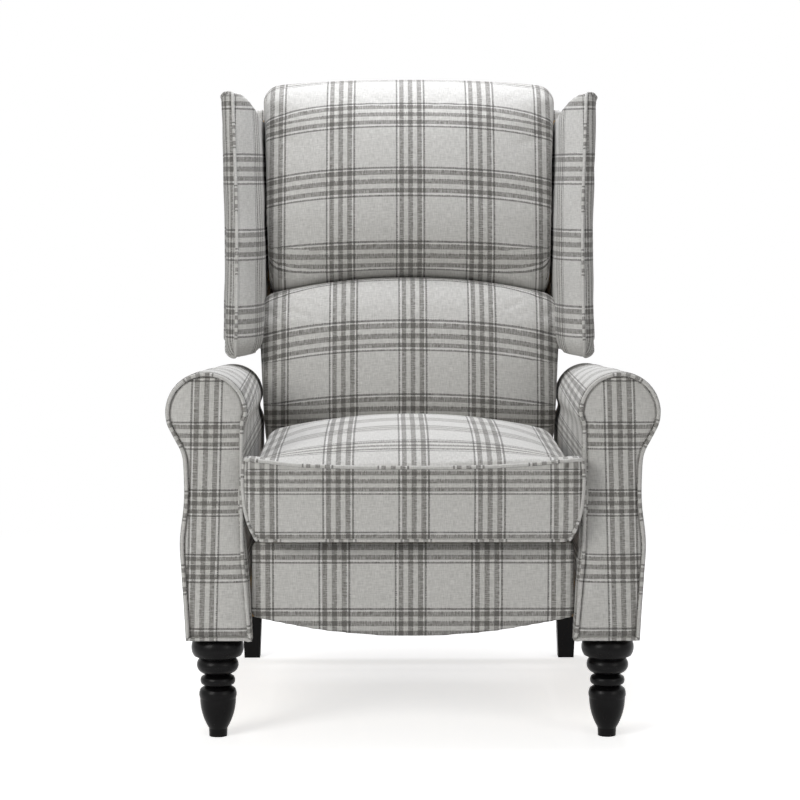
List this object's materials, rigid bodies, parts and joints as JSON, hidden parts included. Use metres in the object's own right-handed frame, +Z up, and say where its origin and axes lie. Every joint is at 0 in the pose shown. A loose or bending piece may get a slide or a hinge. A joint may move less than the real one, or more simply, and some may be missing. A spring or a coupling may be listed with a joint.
{
  "type": "wingback recliner",
  "caption": "Push-back wingback recliner with rolled arms, box seat cushion, two-part back, pop-out footrest, turned front legs and a woven plaid cover.",
  "frame": {"origin": "on the floor, under the middle of the bounding box at rest", "axes": "+X to the right seen from the front, -Y is the way the sitter faces, +Z up"},
  "size_m": [0.728, 0.8621, 1.0067],
  "materials": {
    "upholstery_fabric": "woven linen-look polyester, pale warm grey with a grey plaid",
    "black_lacquer": "turned hardwood under black satin lacquer",
    "frame_wood": "sawn plywood and softwood, unfinished",
    "mechanism_steel": "pressed steel, black powder coat",
    "zinc_steel": "zinc-plated steel",
    "spring_steel": "oiled spring wire",
    "elastic_webbing": "woven elastic webbing"
  },
  "bodies": {
    "base": {"left_arm_panel": "frame_wood", "right_arm_panel": "frame_wood", "left_arm_upholstery": "upholstery_fabric", "right_arm_upholstery": "upholstery_fabric", "left_arm_facing": "upholstery_fabric", "right_arm_facing": "upholstery_fabric", "base_cross_tube": "mechanism_steel", "base_rear_rail": "frame_wood", "front_left_leg": "black_lacquer", "front_right_leg": "black_lacquer", "rear_left_leg": "black_lacquer", "rear_right_leg": "black_lacquer", "leg_bolts": "zinc_steel", "left_base_plate": "mechanism_steel", "right_base_plate": "mechanism_steel", "base_plate_screws": "zinc_steel", "base_pivot_pins": "zinc_steel"},
    "front_swing_links": {"left_front_swing_link": "mechanism_steel", "right_front_swing_link": "mechanism_steel"},
    "rear_swing_links": {"left_rear_swing_link": "mechanism_steel", "right_rear_swing_link": "mechanism_steel"},
    "seat": {"left_seat_plate": "mechanism_steel", "right_seat_plate": "mechanism_steel", "seat_side_rails": "frame_wood", "seat_front_rail": "frame_wood", "seat_rear_rail": "frame_wood", "seat_springs": "spring_steel", "seat_cushion": "upholstery_fabric", "seat_pivot_pins": "zinc_steel", "return_springs": "spring_steel"},
    "back": {"left_back_post": "frame_wood", "right_back_post": "frame_wood", "back_top_rail": "frame_wood", "back_bottom_rail": "frame_wood", "back_webbing": "elastic_webbing", "upper_back_cushion": "upholstery_fabric", "lumbar_cushion": "upholstery_fabric", "left_wing_frame": "frame_wood", "right_wing_frame": "frame_wood", "left_wing_upholstery": "upholstery_fabric", "right_wing_upholstery": "upholstery_fabric", "outside_back_cover": "upholstery_fabric", "left_back_bracket": "mechanism_steel", "right_back_bracket": "mechanism_steel"},
    "front_ottoman_links": {"left_front_ottoman_link": "mechanism_steel", "right_front_ottoman_link": "mechanism_steel", "front_link_pins": "zinc_steel"},
    "rear_ottoman_links": {"left_rear_ottoman_link": "mechanism_steel", "right_rear_ottoman_link": "mechanism_steel"},
    "outer_ottoman_links": {"left_outer_ottoman_link": "mechanism_steel", "right_outer_ottoman_link": "mechanism_steel", "outer_link_pins": "zinc_steel"},
    "inner_ottoman_links": {"left_inner_ottoman_link": "mechanism_steel", "right_inner_ottoman_link": "mechanism_steel", "ottoman_cross_tube": "mechanism_steel"},
    "footrest": {"left_footrest_bracket": "mechanism_steel", "right_footrest_bracket": "mechanism_steel", "footrest_board": "frame_wood", "footrest_pad": "upholstery_fabric", "footrest_pins": "zinc_steel"}
  },
  "joints": [
    {"name": "back_recline", "type": "hinge", "parent": "seat", "child": "back", "pos_m": [0, 0.17, 0.29], "axis": [-1, 0, 0], "range_deg": [0, 34], "deforming": ["return_springs"]},
    {"name": "seat_swing", "type": "hinge", "parent": "base", "child": "rear_swing_links", "pos_m": [0, 0.06, 0.185], "axis": [-1, 0, 0], "range_deg": [-60.3, 0]},
    {"name": "front_seat_swing", "type": "hinge", "parent": "base", "child": "front_swing_links", "pos_m": [0, -0.2, 0.185], "axis": [-1, 0, 0], "range_deg": [-60.3, 0]},
    {"name": "seat_level", "type": "hinge", "parent": "rear_swing_links", "child": "seat", "pos_m": [0, 0.095, 0.24562], "axis": [-1, 0, 0], "range_deg": [0, 60.3]},
    {"name": "front_ottoman_swing", "type": "hinge", "parent": "seat", "child": "front_ottoman_links", "pos_m": [0, -0.08524, 0.23375], "axis": [-1, 0, 0], "range_deg": [0, 125.39]},
    {"name": "rear_ottoman_swing", "type": "hinge", "parent": "seat", "child": "rear_ottoman_links", "pos_m": [0, -0.09028, 0.27517], "axis": [-1, 0, 0], "range_deg": [0, 132.03]},
    {"name": "outer_ottoman_swing", "type": "hinge", "parent": "front_ottoman_links", "child": "outer_ottoman_links", "pos_m": [0, 0.07585, 0.17191], "axis": [-1, 0, 0], "range_deg": [-103.14, 0]},
    {"name": "inner_ottoman_swing", "type": "hinge", "parent": "front_ottoman_links", "child": "inner_ottoman_links", "pos_m": [0, 0.10007, 0.19551], "axis": [-1, 0, 0], "range_deg": [-109.56, 0]},
    {"name": "footrest_swing", "type": "hinge", "parent": "outer_ottoman_links", "child": "footrest", "pos_m": [0, -0.32003, 0.226], "axis": [-1, 0, 0], "range_deg": [0, 60.05]}
  ],
  "couplings": [
    {"joint": "seat_swing", "follows": "back_recline", "ratio": -1.7647},
    {"joint": "front_seat_swing", "follows": "back_recline", "ratio": -1.7647},
    {"joint": "seat_level", "follows": "back_recline", "ratio": 1.7647},
    {"joint": "front_ottoman_swing", "follows": "back_recline", "ratio": 3.6791},
    {"joint": "rear_ottoman_swing", "follows": "back_recline", "ratio": 3.8744},
    {"joint": "outer_ottoman_swing", "follows": "back_recline", "ratio": -3.0247},
    {"joint": "footrest_swing", "follows": "back_recline", "ratio": 1.7574},
    {"joint": "inner_ottoman_swing", "follows": "back_recline", "ratio": -3.2135}
  ]
}
